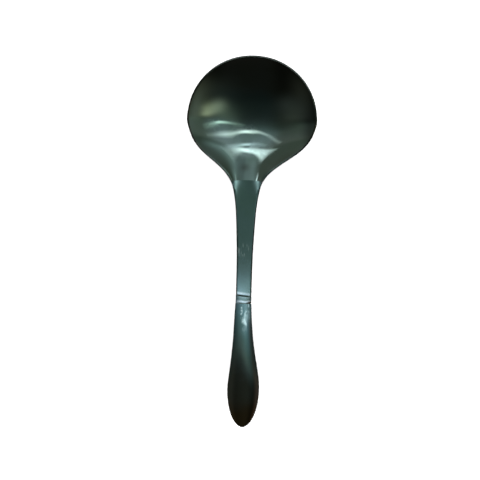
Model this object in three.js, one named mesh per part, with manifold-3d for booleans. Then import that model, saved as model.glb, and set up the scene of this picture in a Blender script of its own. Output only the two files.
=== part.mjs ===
// A small hollow-handled ladle of dark polished steel, about 178 mm long as it lies on a table.
// It is made of a pressed bowl, a flat bevelled stem brazed to the bowl's neck and lapped under it,
// a collar, and a hollow grip: two pressed shells soldered edge to edge, with a cement core that holds
// the stem's tang.
//
// Everything is shaped in the ladle's own frame, in millimetres: X to the right, Y from the grip towards
// the bowl's far lip, Z up, with the bowl's rim level at Z = 0 and its centre at the origin. The ladle is
// then tilted back until the bowl and the tip of the grip both touch the table, as it lies at rest.
import * as THREE from 'three';
import { mergeVertices } from 'three/addons/utils/BufferGeometryUtils.js';
import Module from 'manifold-3d';

const wasm = await Module();
wasm.setup();
const { degToRad, lerp, smoothstep } = THREE.MathUtils;

// --- Driving dimensions. "Back" is a distance behind the bowl's centre, so back = -Y. ---

const TILT = degToRad(16.1);
const GAP = 0.3; // between pieces that are brazed or cemented together

const BOWL_RADIUS = 30.8; // outside of the rim
const BOWL_DEPTH = 18;
const BOWL_FULLNESS = 2.04; // 2 would make the far half of the rim a true half circle
const SHEET = 1.0; // thickness of the bowl's sheet
const EDGE = 0.85; // width of the rim, and of the stem's bevels, seen from above
const RIM_ROUND = 0.3;
const BOWL_WEAR = 0.35; // depth of the flat worn under the bowl where it rests

const NECK_CUT = 28.6; // back of the bowl's end face
const STEM_START = NECK_CUT + GAP;
const STEM_END = 78.95;
const CHANNEL_END = 41; // back of the place where the neck's channel has run out into the flat stem
const CHANNEL_SQUARENESS = 0.93; // 0 would make the channel a shallow dish, 1 a trough with upright sides
const STEM_THICK_NECK = 2.8;
const STEM_THICK_COLLAR = 2.4;
const FLANGE_THICK = 1.1;
const BEVEL_DROP = 0.45;
const UNDER_BEVEL = 0.3;

const HEEL_END = 22; // back of the end of the tongue that laps under the bowl
const HEEL_HALF_WIDTH = 3.3;
const HEEL_THICK = 1.1;

const ARC_RADIUS = 142; // the handle's top line is one arc
const ARC_START_BACK = 31;
const ARC_START_SLOPE = degToRad(36); // rising towards the grip
const RIM_SWEEP = 2.4; // how softly the level rim turns up into the handle's arc
const SWAY = 1.6; // the stem stands this far to the left of the bowl's centre
const TIP_SWAY = 0.38; // and the tip of the grip this far

const COLLAR_FRONT = STEM_END + GAP;
const COLLAR_BACK = 82.7;
const COLLAR_HALF_WIDTH = 3.75;
const COLLAR_HOLE_HALF_WIDTH = 2.5;
const COLLAR_HOLE_HALF_THICK = 1.2;

const TANG_END = 116;
const TANG_HALF_WIDTH = [1.9, 1.2]; // at its root and at its end
const TANG_HALF_THICK = [0.6, 0.4];

const GRIP_MOUTH = COLLAR_BACK + GAP;
const GRIP_WIDEST = 127.5;
const GRIP_TIP = 147.7;
const GRIP_HALF_WIDTH = 7.7;
const GRIP_RISE = [1.6, 3.05]; // height over the seam, at the mouth and at the widest place
const GRIP_DROP = [1.6, 2.55]; // depth under the seam
const GRIP_PROUD = 0.25; // the grip and the collar stand this much over the stem's face
const TIP_POWER = 0.43; // 0.5 would make the tip's outline half an ellipse, less makes it blunter
const SHELL = 0.6; // thickness of the grip's shells
const SEAM_HALF_THICK = 0.15;
const SEAM_GAP = 0.1; // between the solder seam and each shell
const SEAM_PROUD = 0.08;
const FILLER_START = 98;

// --- Curves ---

// A natural cubic spline through [x, y] points with rising x.
function spline(points) {
  const last = points.length - 1;
  const bend = new Array(last + 1).fill(0);
  const load = new Array(last + 1).fill(0);
  for (let i = 1; i < last; i++) {
    const [x0, y0] = points[i - 1];
    const [x1, y1] = points[i];
    const [x2, y2] = points[i + 1];
    const share = (x1 - x0) / (x2 - x0);
    const pivot = share * bend[i - 1] + 2;
    const turn = (y2 - y1) / (x2 - x1) - (y1 - y0) / (x1 - x0);
    bend[i] = (share - 1) / pivot;
    load[i] = ((6 * turn) / (x2 - x0) - share * load[i - 1]) / pivot;
  }
  for (let i = last - 1; i >= 0; i--) bend[i] = bend[i] * bend[i + 1] + load[i];
  return (x) => {
    let k = 0;
    while (k < last - 1 && x > points[k + 1][0]) k++;
    const [x0, y0] = points[k];
    const [x1, y1] = points[k + 1];
    const step = x1 - x0;
    const a = (x1 - x) / step;
    const b = 1 - a;
    const curve = (a ** 3 - a) * bend[k] + (b ** 3 - b) * bend[k + 1];
    return a * y0 + b * y1 + (curve * step ** 2) / 6;
  };
}

// Half-width of the far half of the rim at height y of its outline, for a rim of a given radius.
const rimHalfWidth = (y, radius) =>
  radius * Math.max(0, 1 - (y / radius) ** BOWL_FULLNESS) ** (1 / BOWL_FULLNESS);

// Half-width of shoulder, neck and stem, by back.
const stemHalfWidth = spline([
  [-8, rimHalfWidth(8, BOWL_RADIUS)],
  [-4, rimHalfWidth(4, BOWL_RADIUS)],
  [0, BOWL_RADIUS],
  [4, 29.85],
  [9, 27.6],
  [14, 23.15],
  [19, 16.75],
  [24, 11.1],
  [29, 7.7],
  [34, 6.05],
  [40, 5.0],
  [48, 4.38],
  [60, 3.82],
  [72, 3.66],
  [STEM_END, 3.64],
]);

// Half-width of the grip up to its widest place, by back.
const gripHalfWidth = spline([
  [GRIP_MOUTH, 3.75],
  [90, 4.12],
  [100, 4.75],
  [110, 5.85],
  [118, 6.9],
  [GRIP_WIDEST, GRIP_HALF_WIDTH],
  [137, 7.2],
]);

// Half-width of the face inside the rim or between the stem's bevels.
function faceHalfWidth(y) {
  return y > 0 ? rimHalfWidth(y, BOWL_RADIUS - EDGE) : stemHalfWidth(-y) - EDGE;
}

// The inside of the bowl is part of a sphere.
const FACE_RADIUS = BOWL_RADIUS - EDGE;
const SPHERE_RADIUS = (FACE_RADIUS ** 2 + BOWL_DEPTH ** 2) / (2 * BOWL_DEPTH);
const SPHERE_CENTRE = new THREE.Vector3(0, 0, SPHERE_RADIUS - BOWL_DEPTH);
const sphereDepth = (y) => Math.sqrt(SPHERE_RADIUS ** 2 - y ** 2) - SPHERE_CENTRE.z;

// Its depth runs out along the neck, which leaves a channel between two upturned flanges.
const CHANNEL_START = 16;
const channelDepth = spline([
  [8, sphereDepth(8)],
  [12, sphereDepth(12)],
  [CHANNEL_START, sphereDepth(CHANNEL_START)],
  [22, sphereDepth(22)],
  [26, 5.75],
  [NECK_CUT, 3.15],
  [31, 1.6],
  [35, 0.5],
  [38, 0.12],
  [CHANNEL_END, 0],
]);

function depthAt(y) {
  if (-y < CHANNEL_START) return sphereDepth(y);
  return -y < CHANNEL_END ? Math.max(0, channelDepth(-y)) : 0;
}

// The slope of the handle's arc, and its height.
const arcSlope = (y) => Math.asin(Math.sin(ARC_START_SLOPE) + (y + ARC_START_BACK) / ARC_RADIUS);
const arcHeight = (y) => ARC_RADIUS * (Math.cos(arcSlope(y)) - Math.cos(ARC_START_SLOPE));

// The rim is level round the bowl, and sweeps up into the handle's arc.
function rimHeight(y) {
  const arc = arcHeight(Math.min(y, 0));
  return (arc + Math.hypot(arc, RIM_SWEEP)) / 2;
}

// The handle's centre line, seen from above.
function sway(y) {
  const stem = SWAY * smoothstep(-y, 4, NECK_CUT) * (1 - smoothstep(-y, GRIP_MOUTH, GRIP_TIP - 10));
  return -stem - TIP_SWAY * smoothstep(-y, GRIP_WIDEST - 12, GRIP_WIDEST + 6);
}

// --- The bowl's face, and what lies under it ---

// How much of the bowl's depth is left at a share of the way out from the centre line.
function hollow(share, y) {
  const roundness = faceHalfWidth(y) / Math.sqrt(SPHERE_RADIUS ** 2 - Math.min(-y, NECK_CUT) ** 2);
  const blend = smoothstep(-y, CHANNEL_START, NECK_CUT);
  const squareness = lerp(Math.max(roundness, 0.01), CHANNEL_SQUARENESS, blend);
  const rise = (u) => 1 - Math.sqrt(1 - (squareness * u) ** 2);
  return 1 - rise(share) / rise(1);
}

// The face of the bowl and of the neck, x being measured from the centre line.
function facePoint(x, y) {
  const share = x / Math.max(faceHalfWidth(y), 1e-6);
  const clamped = THREE.MathUtils.clamp(share, -1, 1);
  return new THREE.Vector3(x + sway(y), y, rimHeight(y) - depthAt(y) * hollow(clamped, y));
}

function faceNormal(x, y) {
  if (y > 0) return SPHERE_CENTRE.clone().sub(facePoint(x, y)).normalize();
  const step = 0.02;
  const inward = x > 0 ? x - step : x + step;
  const across = facePoint(inward + step, y).sub(facePoint(inward - step, y));
  const along = facePoint(inward, y + step).sub(facePoint(inward, y - step));
  return across.cross(along).normalize();
}

// A point at a depth under the face, square to it, but kept in the plane of the cut where the neck ends.
function underFace(x, y, depth) {
  const normal = faceNormal(x, y);
  const keep = smoothstep(-y, CHANNEL_START, NECK_CUT);
  const reach = -depth / (1 - keep * normal.y ** 2);
  normal.y *= 1 - keep;
  return facePoint(x, y).addScaledVector(normal, reach);
}

// A point over the handle's arc: square to the arc, but upright at the joint with the bowl.
function overArc(x, y, lift) {
  const slope = arcSlope(y);
  const lean = slope * smoothstep(-y, STEM_START, CHANNEL_END);
  const reach = lift / Math.cos(slope - lean);
  return new THREE.Vector3(x + sway(y), y + reach * Math.sin(lean), rimHeight(y) + reach * Math.cos(lean));
}

// --- Solids ---

// A ring of a solid: a top row and a bottom row of points, both from left to right.
const ringOf = (top, bottom) => [...top, ...bottom.toReversed()];

const spread = (from, to, count) => Array.from({ length: count + 1 }, (_, i) => lerp(from, to, i / count));

// The skin through a run of rings. An end that shrinks to a line or a point closes itself. A flat end is
// closed from row to row, unless the rings form a loop and come back to the first one.
function skin(rings, loop = false) {
  const count = rings[0].length;
  const lastRing = (rings.length - 1) * count;
  const faces = [];
  for (let start = 0; start < lastRing; start += count) {
    for (let j = 0; j < count; j++) {
      const a = start + j;
      const b = start + ((j + 1) % count);
      faces.push([a, b + count, b], [a, a + count, b + count]);
    }
  }
  for (let j = 0; j < count / 2 - 1 && !loop; j++) {
    const [a, b, c, d] = [j, j + 1, count - 2 - j, count - 1 - j];
    faces.push([a, b, c], [a, c, d]);
    faces.push([lastRing + a, lastRing + c, lastRing + b], [lastRing + a, lastRing + d, lastRing + c]);
  }
  const geometry = new THREE.BufferGeometry().setFromPoints(rings.flat());
  const welded = mergeVertices(geometry.setIndex(faces.flat()), 1e-4);
  const index = Array.from(welded.index.array);
  const corners = faces.map((_, i) => index.slice(3 * i, 3 * i + 3));
  return welded.setIndex(corners.filter((corner) => new Set(corner).size === 3).flat());
}

function toManifold(geometry) {
  return new wasm.Manifold(new wasm.Mesh({
    numProp: 3,
    vertProperties: Float32Array.from(geometry.attributes.position.array),
    triVerts: Uint32Array.from(geometry.index.array),
  }));
}

function subtract(geometry, cutter) {
  const mesh = toManifold(geometry).subtract(toManifold(cutter)).getMesh();
  return new THREE.BufferGeometry()
    .setAttribute('position', new THREE.BufferAttribute(mesh.vertProperties, 3))
    .setIndex(new THREE.BufferAttribute(mesh.triVerts, 1));
}

// What lies below the top of the table, seen from the tilted ladle: it takes off the worn places.
function table() {
  const block = new THREE.BoxGeometry(100, 400, 20);
  block.deleteAttribute('normal');
  block.deleteAttribute('uv');
  const lowest = SPHERE_CENTRE.z * Math.cos(TILT) - SPHERE_RADIUS - SHEET;
  return mergeVertices(block.translate(0, 0, lowest + BOWL_WEAR - 10).rotateX(-TILT));
}

// --- The bowl ---

// The edge of the bowl's face, anticlockwise from the right of the cut, as [x, y] from the centre line.
function bowlEdge() {
  const side = spread(NECK_CUT, 0, 14).map((back) => [faceHalfWidth(-back), -back]);
  const lip = spread(0, Math.PI, 34).slice(1, -1).map((angle) => {
    const reach = (value) => FACE_RADIUS * Math.sign(value) * Math.abs(value) ** (2 / BOWL_FULLNESS);
    return [reach(Math.cos(angle)), reach(Math.sin(angle))];
  });
  const otherSide = side.toReversed().map(([x, y]) => [-x, y]);
  const [cornerX, cornerY] = side[0];
  const cut = spread(-cornerX, cornerX, 8).slice(1, -1).map((x) => [x, cornerY]);
  return [...side, ...lip, ...otherSide, ...cut];
}

function bowl() {
  const edge = bowlEdge();
  const rimAngle = Math.asin(FACE_RADIUS / SPHERE_RADIUS);
  const shares = spread(0, rimAngle, 11).map((angle) => Math.sin(angle) / Math.sin(rimAngle));
  const ring = (share, place) => edge.map(([x, y]) => place(x * share, y * share));
  const inside = shares.map((share) => ring(share, facePoint));
  const outside = shares.map((share) => ring(share, (x, y) => underFace(x, y, SHEET))).reverse();
  const rim = ring(1, (x, y) => {
    const round = y > -NECK_CUT ? RIM_ROUND : 0;
    return underFace(x, y, SHEET / 2).add(new THREE.Vector3(0, 0, round));
  });
  return subtract(skin([...inside, rim, ...outside]), table());
}

// --- The stem, with its heel under the bowl and its tang inside the grip ---

const ROW = spread(-1, 1, 8);

function heelRing(back) {
  const share = (STEM_START - back) / (STEM_START - HEEL_END);
  const shrink = Math.sqrt(Math.max(0, 1 - share ** 2));
  const top = ROW.map((u) => underFace(u * HEEL_HALF_WIDTH * shrink, -back, SHEET + GAP));
  const bottom = top.map((point, i) => {
    const thick = HEEL_THICK * shrink * (1 - 0.6 * ROW[i] ** 2);
    return point.clone().setZ(point.z - thick);
  });
  return ringOf(top, bottom);
}

function stemRing(back) {
  const flatness = smoothstep(back, STEM_START, CHANNEL_END);
  const thick = lerp(STEM_THICK_NECK, STEM_THICK_COLLAR, (back - STEM_START) / (STEM_END - STEM_START));
  const edgeThick = lerp(FLANGE_THICK, thick - UNDER_BEVEL, flatness);
  const outline = stemHalfWidth(back);
  const face = spread(-1, 1, 6).map((u) => facePoint(u * (outline - EDGE), -back));
  const bevels = [-outline, outline].map((x) => overArc(x, -back, -BEVEL_DROP));
  const bottom = ROW.map((u) => {
    const curl = Math.abs(u) ** lerp(2.2, 8, flatness);
    const point = overArc(u * outline, -back, -lerp(thick, edgeThick, curl));
    return point.setZ(point.z - depthAt(-back) * (1 - curl));
  });
  return ringOf([bevels[0], ...face, bevels[1]], bottom);
}

function tangRing(back, spare) {
  const share = (back - STEM_END) / (TANG_END - STEM_END);
  const halfWidth = lerp(...TANG_HALF_WIDTH, share) + spare;
  const halfThick = lerp(...TANG_HALF_THICK, share) + spare;
  const row = (side) => ROW.map((u) => overArc(u * halfWidth, -back, seamLift(back) + side * halfThick));
  return ringOf(row(1), row(-1));
}

function stem() {
  const heelBack = (turn) => lerp(HEEL_END, STEM_START, 1 - Math.cos(turn));
  const heel = spread(0, Math.PI / 2, 6).map((turn) => heelRing(heelBack(turn)));
  const neck = spread(STEM_START, CHANNEL_END, 8).map(stemRing);
  const bar = spread(CHANNEL_END, STEM_END, 9).slice(1).map(stemRing);
  const tang = spread(STEM_END, TANG_END, 7).map((back) => tangRing(back, 0));
  return skin([...heel, ...neck, ...bar, ...tang]);
}

// --- The collar and the grip ---

// Travel along the grip runs from -1 at the mouth, through 0 at the widest place, to 1 at the tip.
// The grip's skin at a place of travel, set in from the outside by a given amount.
function gripStation(travel, inset) {
  if (travel <= 0) {
    const back = lerp(GRIP_WIDEST, GRIP_MOUTH, -travel);
    const half = gripHalfWidth(back) - inset;
    const swell = smoothstep(back, GRIP_MOUTH, GRIP_WIDEST);
    return { back, half, rise: lerp(...GRIP_RISE, swell) - inset, drop: lerp(...GRIP_DROP, swell) - inset };
  }
  const shrink = (1 - travel ** 2) ** TIP_POWER;
  return {
    back: lerp(GRIP_WIDEST, GRIP_TIP - inset, travel),
    half: (GRIP_HALF_WIDTH - inset) * shrink,
    rise: (GRIP_RISE[1] - inset) * shrink,
    drop: (GRIP_DROP[1] - inset) * shrink,
  };
}

// The lift of the seam over the handle's arc.
function seamLift(back) {
  const swell = smoothstep(back, GRIP_MOUTH, GRIP_WIDEST);
  const share = Math.max(0, (back - GRIP_WIDEST) / (GRIP_TIP - GRIP_WIDEST));
  return GRIP_PROUD - lerp(...GRIP_RISE, swell) * Math.sqrt(1 - Math.min(1, share) ** 2);
}

// A row of points across the grip, over the seam (side 1) or under it (side -1), kept `off` away from it.
function gripRow(travel, inset, side, off) {
  const { back, half, rise, drop } = gripStation(travel, inset);
  const height = Math.max(0, (side > 0 ? rise : drop) - off);
  return spread(-Math.PI / 2, Math.PI / 2, 12).map((angle) =>
    overArc(half * Math.sin(angle), -back, seamLift(back) + side * (off + height * Math.cos(angle))));
}

const TIP_TRAVEL = spread(0, Math.PI / 2, 9).map(Math.sin);
const GRIP_TRAVEL = [...spread(-1, 0, 10), ...TIP_TRAVEL.slice(1)];

function gripShell(side) {
  const off = SEAM_HALF_THICK + SEAM_GAP;
  return skin(GRIP_TRAVEL.map((travel) => {
    const outer = gripRow(travel, 0, side, off);
    const inner = gripRow(travel, SHELL, side, off);
    return side > 0 ? ringOf(outer, inner) : ringOf(inner, outer);
  }));
}

function seam() {
  const ring = (travel, side) => {
    const corner = (inset, level) => {
      const { back, half } = gripStation(travel, inset);
      return overArc(side * half, -back, seamLift(back) + level);
    };
    const [up, down] = [SEAM_HALF_THICK, -SEAM_HALF_THICK];
    return [corner(-SEAM_PROUD, up), corner(SHELL, up), corner(SHELL, down), corner(-SEAM_PROUD, down)];
  };
  const left = GRIP_TRAVEL.map((travel) => ring(travel, -1));
  const right = GRIP_TRAVEL.slice(0, -1).reverse().map((travel) => ring(travel, 1));
  return skin([...left, ...right]);
}

function filler() {
  const start = -(GRIP_WIDEST - FILLER_START) / (GRIP_WIDEST - GRIP_MOUTH);
  const rings = [...spread(start, 0, 6), ...TIP_TRAVEL.slice(1)].map((travel) =>
    ringOf(gripRow(travel, SHELL + GAP, 1, 0), gripRow(travel, SHELL + GAP, -1, 0)));
  const pocket = spread(FILLER_START - 2, TANG_END + GAP, 5).map((back) => tangRing(back, GAP));
  return subtract(skin(rings), skin(pocket));
}

function collar() {
  const ring = (back, halfWidth, halfThick) => {
    const angles = spread(0, 2 * Math.PI, 28).slice(0, -1);
    return angles.map((angle) =>
      overArc(-halfWidth * Math.cos(angle), -back, seamLift(back) + halfThick * Math.sin(angle)));
  };
  const outer = (back) => ring(back, COLLAR_HALF_WIDTH, GRIP_RISE[0]);
  const hole = (back) => ring(back, COLLAR_HOLE_HALF_WIDTH, COLLAR_HOLE_HALF_THICK);
  const rings = [outer(COLLAR_FRONT), outer(COLLAR_BACK), hole(COLLAR_BACK), hole(COLLAR_FRONT)];
  return skin([...rings, rings[0]], true);
}

// --- The ladle ---

const darkSteel = { color: 0x2c3f40, roughness: 0.28, metalness: 1 };
const wornSteel = { color: 0x3a4a49, roughness: 0.34, metalness: 1 };
const solder = { color: 0x5a3b2a, roughness: 0.55, metalness: 0.7 };
const cement = { color: 0x8d8878, roughness: 0.9, metalness: 0 };

function piece(name, geometry, finish) {
  const mesh = new THREE.Mesh(geometry, new THREE.MeshStandardMaterial(finish));
  mesh.name = name;
  return mesh;
}

const ladle = new THREE.Group();
ladle.add(
  piece('bowl', bowl(), darkSteel),
  piece('stem', stem(), darkSteel),
  piece('collar', collar(), wornSteel),
  piece('grip_top_shell', gripShell(1), darkSteel),
  piece('grip_bottom_shell', subtract(gripShell(-1), table()), darkSteel),
  piece('grip_seam', seam(), solder),
  piece('grip_filler', filler(), cement),
);

// Laid on the table, with the middle of the whole ladle over the origin.
ladle.rotation.x = TILT;
const box = new THREE.Box3().setFromObject(ladle, true);
ladle.position.set(-(box.min.x + box.max.x) / 2, -(box.min.y + box.max.y) / 2, -box.min.z);

export default ladle;
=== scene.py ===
import math

import bmesh
import bpy
import numpy as np
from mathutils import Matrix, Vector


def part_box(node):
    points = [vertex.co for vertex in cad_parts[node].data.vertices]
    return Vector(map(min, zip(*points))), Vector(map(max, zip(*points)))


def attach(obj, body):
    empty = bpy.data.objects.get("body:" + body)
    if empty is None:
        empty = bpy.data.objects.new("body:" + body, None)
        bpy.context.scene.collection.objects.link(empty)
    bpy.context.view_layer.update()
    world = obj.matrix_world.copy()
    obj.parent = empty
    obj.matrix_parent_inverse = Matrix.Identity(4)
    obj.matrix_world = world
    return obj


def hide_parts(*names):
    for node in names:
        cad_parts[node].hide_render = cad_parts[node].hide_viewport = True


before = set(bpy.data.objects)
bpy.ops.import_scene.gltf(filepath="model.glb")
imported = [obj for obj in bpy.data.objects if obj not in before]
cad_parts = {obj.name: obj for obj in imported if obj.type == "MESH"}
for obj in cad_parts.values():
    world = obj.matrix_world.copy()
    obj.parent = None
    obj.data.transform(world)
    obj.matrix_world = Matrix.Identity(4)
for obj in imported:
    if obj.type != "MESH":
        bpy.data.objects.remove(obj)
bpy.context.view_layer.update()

# --- The ladle's own frame ---
# Lengths here are millimetres. X is to the right, Y from the grip towards the bowl's far lip and Z up, with
# the rim level at Z = 0 and the bowl's centre at the origin. "Back" is a distance behind that centre, so
# back = -Y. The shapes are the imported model's, with finer meshes, rounded edges and the marks of use.

TILT = math.radians(16.1)  # how far the ladle leans back as it lies on the table

BOWL_RADIUS = 30.8
BOWL_DEPTH = 18
BOWL_FULLNESS = 2.04  # 2 would make the far half of the rim a true half circle
ROUND_START = 7  # ahead of this the rim is nearly a circle
SHEET = 1.0
EDGE = 0.85  # width of the rim, and of the stem's bevels, seen from above
RIM_ROUND = 0.3
BOWL_WEAR = 0.35

NECK_CUT = 28.6
STEM_START = 28.9
JOINT = 28.75  # where the brazed faces of bowl and stem meet
STEM_END = 78.95
CHANNEL_START = 16
CHANNEL_END = 41
CHANNEL_SQUARENESS = 0.93
STEM_THICK = (2.8, 2.4)  # at the neck and at the collar
FLANGE_THICK = 1.1
BEVEL_DROP = 0.45
UNDER_BEVEL = 0.3

HEEL_END = 22
HEEL_HALF_WIDTH = 3.3
HEEL_THICK = 1.1
HEEL_THINNING = 0.6  # the share of that by which its sides are thinner
HEEL_GAP = 0.3

ARC_RADIUS = 142  # the handle's top line is one arc
ARC_START_BACK = 31
ARC_START_SLOPE = math.radians(36)
RIM_SWEEP = 2.4
SWAY = 1.6
TIP_SWAY = 0.38

COLLAR_FRONT = 79.25
COLLAR_BACK = 82.7
COLLAR_HALF_WIDTH = 3.75
COLLAR_HOLE = (2.5, 1.2)  # half width and half thickness

TANG_END = 116
TANG_HALF_WIDTH = (1.9, 1.2)
TANG_HALF_THICK = (0.6, 0.4)

GRIP_MOUTH = 83.0
GRIP_WIDEST = 127.5
GRIP_TIP = 147.7
GRIP_HALF_WIDTH = 7.7
GRIP_RISE = (1.6, 3.05)  # height over the seam, at the mouth and at the widest place
GRIP_DROP = (1.6, 2.55)
GRIP_PROUD = 0.25
TIP_POWER = 0.43
SHELL = 0.6
SEAM_HALF_THICK = 0.15
SEAM_GAP = 0.1
SEAM_PROUD = 0.08


# --- Curves ---

def lerp(a, b, share):
    return a + (b - a) * share


def smoothstep(value, low, high):
    share = np.clip((value - low) / (high - low), 0, 1)
    return share * share * (3 - 2 * share)


def spline(points):
    """A natural cubic spline through (x, y) points with rising x."""
    x, y = np.array(points, float).T
    step = np.diff(x)
    slope = np.diff(y) / step
    system = np.eye(len(x))
    load = np.zeros(len(x))
    for i in range(1, len(x) - 1):
        system[i, i - 1:i + 2] = step[i - 1], 2 * (step[i - 1] + step[i]), step[i]
        load[i] = 6 * (slope[i] - slope[i - 1])
    bend = np.linalg.solve(system, load)

    def value(at):
        k = np.clip(np.searchsorted(x, at) - 1, 0, len(x) - 2)
        a = (x[k + 1] - at) / step[k]
        b = 1 - a
        curve = (a**3 - a) * bend[k] + (b**3 - b) * bend[k + 1]
        return a * y[k] + b * y[k + 1] + curve * step[k] ** 2 / 6

    return value


def rim_half_width(y, radius):
    """Half-width of the far half of a rim of that radius, at height y of its outline."""
    share = np.clip(y / radius, 0, 1)
    return radius * (1 - share**BOWL_FULLNESS) ** (1 / BOWL_FULLNESS)


stem_half_width = spline([
    (-8, rim_half_width(8, BOWL_RADIUS)), (-4, rim_half_width(4, BOWL_RADIUS)), (0, BOWL_RADIUS),
    (4, 29.85), (9, 27.6), (14, 23.15), (19, 16.75), (24, 11.1), (29, 7.7), (34, 6.05), (40, 5.0),
    (48, 4.38), (60, 3.82), (72, 3.66), (STEM_END, 3.64),
])
grip_half_width = spline([
    (GRIP_MOUTH, 3.75), (90, 4.12), (100, 4.75), (110, 5.85), (118, 6.9),
    (GRIP_WIDEST, GRIP_HALF_WIDTH), (137, 7.2),
])


def face_half_width(y):
    """Half-width of the face inside the rim, or between the stem's bevels."""
    far = rim_half_width(y, BOWL_RADIUS - EDGE)
    return lerp(stem_half_width(-y) - EDGE, far, smoothstep(y, 1, ROUND_START))


FACE_RADIUS = BOWL_RADIUS - EDGE
SPHERE_RADIUS = (FACE_RADIUS**2 + BOWL_DEPTH**2) / (2 * BOWL_DEPTH)
SPHERE_LIFT = SPHERE_RADIUS - BOWL_DEPTH  # height of the sphere's centre over the rim


def sphere_depth(y):
    return np.sqrt(np.maximum(SPHERE_RADIUS**2 - y**2, 0)) - SPHERE_LIFT


channel_depth = spline([
    (8, sphere_depth(8)), (12, sphere_depth(12)), (CHANNEL_START, sphere_depth(CHANNEL_START)),
    (22, sphere_depth(22)), (26, 5.75), (NECK_CUT, 3.15), (31, 1.6), (35, 0.5), (38, 0.12),
    (CHANNEL_END, 0),
])


def depth_at(y):
    """Depth of the face under the rim's level on the centre line."""
    channel = np.where(-y < CHANNEL_END, np.maximum(channel_depth(-y), 0), 0)
    return np.where(-y < CHANNEL_START, sphere_depth(y), channel)


def arc_slope(y):
    return np.arcsin(math.sin(ARC_START_SLOPE) + (y + ARC_START_BACK) / ARC_RADIUS)


def rim_height(y):
    """The rim is level round the bowl, and sweeps up into the handle's arc."""
    arc = ARC_RADIUS * (np.cos(arc_slope(np.minimum(y, 0))) - math.cos(ARC_START_SLOPE))
    return (arc + np.hypot(arc, RIM_SWEEP)) / 2


def sway(y):
    """How far the handle's centre line stands to the right of the bowl's."""
    stem = SWAY * smoothstep(-y, 4, NECK_CUT) * (1 - smoothstep(-y, GRIP_MOUTH, GRIP_TIP - 10))
    return -stem - TIP_SWAY * smoothstep(-y, GRIP_WIDEST - 12, GRIP_WIDEST + 6)


# --- The bowl's face, and what lies under it ---

def hollow(share, y):
    """How much of the depth is left at a share of the way out from the centre line."""
    roundness = face_half_width(y) / np.sqrt(SPHERE_RADIUS**2 - np.minimum(-y, NECK_CUT) ** 2)
    blend = smoothstep(-y, CHANNEL_START, NECK_CUT)
    squareness = lerp(np.maximum(roundness, 0.01), CHANNEL_SQUARENESS, blend)
    rise = 1 - np.sqrt(1 - (squareness * share) ** 2)
    return 1 - rise / (1 - np.sqrt(1 - squareness**2))


def face_point(x, y):
    share = np.clip(x / np.maximum(face_half_width(y), 1e-6), -1, 1)
    return np.stack([x + sway(y), y + 0 * x, rim_height(y) - depth_at(y) * hollow(share, y)], axis=-1)


def face_normal(x, y):
    step = 0.02  # either side, to take the slope from
    inward = np.where(x > 0, x - step, x + step)
    across = face_point(inward + step, y) - face_point(inward - step, y)
    along = face_point(inward, y + step) - face_point(inward, y - step)
    slanted = np.cross(across, along)
    radial = np.array([0, 0, SPHERE_LIFT]) - face_point(x, y)
    normal = np.where((y > ROUND_START)[..., None], radial, slanted)
    return normal / np.linalg.norm(normal, axis=-1, keepdims=True)


def under_face(x, y, depth):
    """A point at a depth under the face, square to it, but in the plane of the cut where the neck ends."""
    normal = face_normal(x, y)
    keep = smoothstep(-y, CHANNEL_START, NECK_CUT)
    reach = depth / (1 - keep * normal[..., 1] ** 2)
    normal[..., 1] *= 1 - keep
    return face_point(x, y) - normal * reach[..., None]


def over_arc(x, y, lift):
    """A point over the handle's arc: square to the arc, but upright at the joint with the bowl."""
    slope = arc_slope(y)
    lean = slope * smoothstep(-y, STEM_START, CHANNEL_END)
    reach = lift / np.cos(slope - lean)
    return np.stack(np.broadcast_arrays(
        x + sway(y), y + reach * np.sin(lean), rim_height(y) + reach * np.cos(lean)), axis=-1)


# --- Meshes ---

BOWL_BOTTOM = SPHERE_LIFT * math.cos(TILT) - SPHERE_RADIUS - SHEET  # of the tilted bowl, before its wear
MM = 0.001


def tilted(points):
    """Points of the ladle's frame, leaned back as it lies, with the table at height 0."""
    x, y, z = np.moveaxis(np.asarray(points, float), -1, 0)
    along = y * math.cos(TILT) - z * math.sin(TILT)
    height = y * math.sin(TILT) + z * math.cos(TILT)
    return np.stack([x, along, height - BOWL_BOTTOM - BOWL_WEAR], -1)


def lip_reach():
    """How far the bowl's far lip reaches in the tilted frame."""
    return tilted(under_face(np.zeros(1), np.full(1, FACE_RADIUS), np.full(1, SHEET)))[0, 1]


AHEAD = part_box("bowl")[1].y / MM - lip_reach()


def placed(points):
    """Points of the ladle's frame as the model has them, in metres. Nothing reaches under the table."""
    world = tilted(points) + [0, AHEAD, 0]
    world[..., 2] = np.maximum(world[..., 2], 0)
    return world * MM


def ring_of(top, bottom):
    """A closed ring from a top row and a bottom row of points, both from left to right."""
    return np.concatenate([top, bottom[::-1]])


WELD = 2e-7
NEAR_NOTHING = 1e-8


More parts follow.
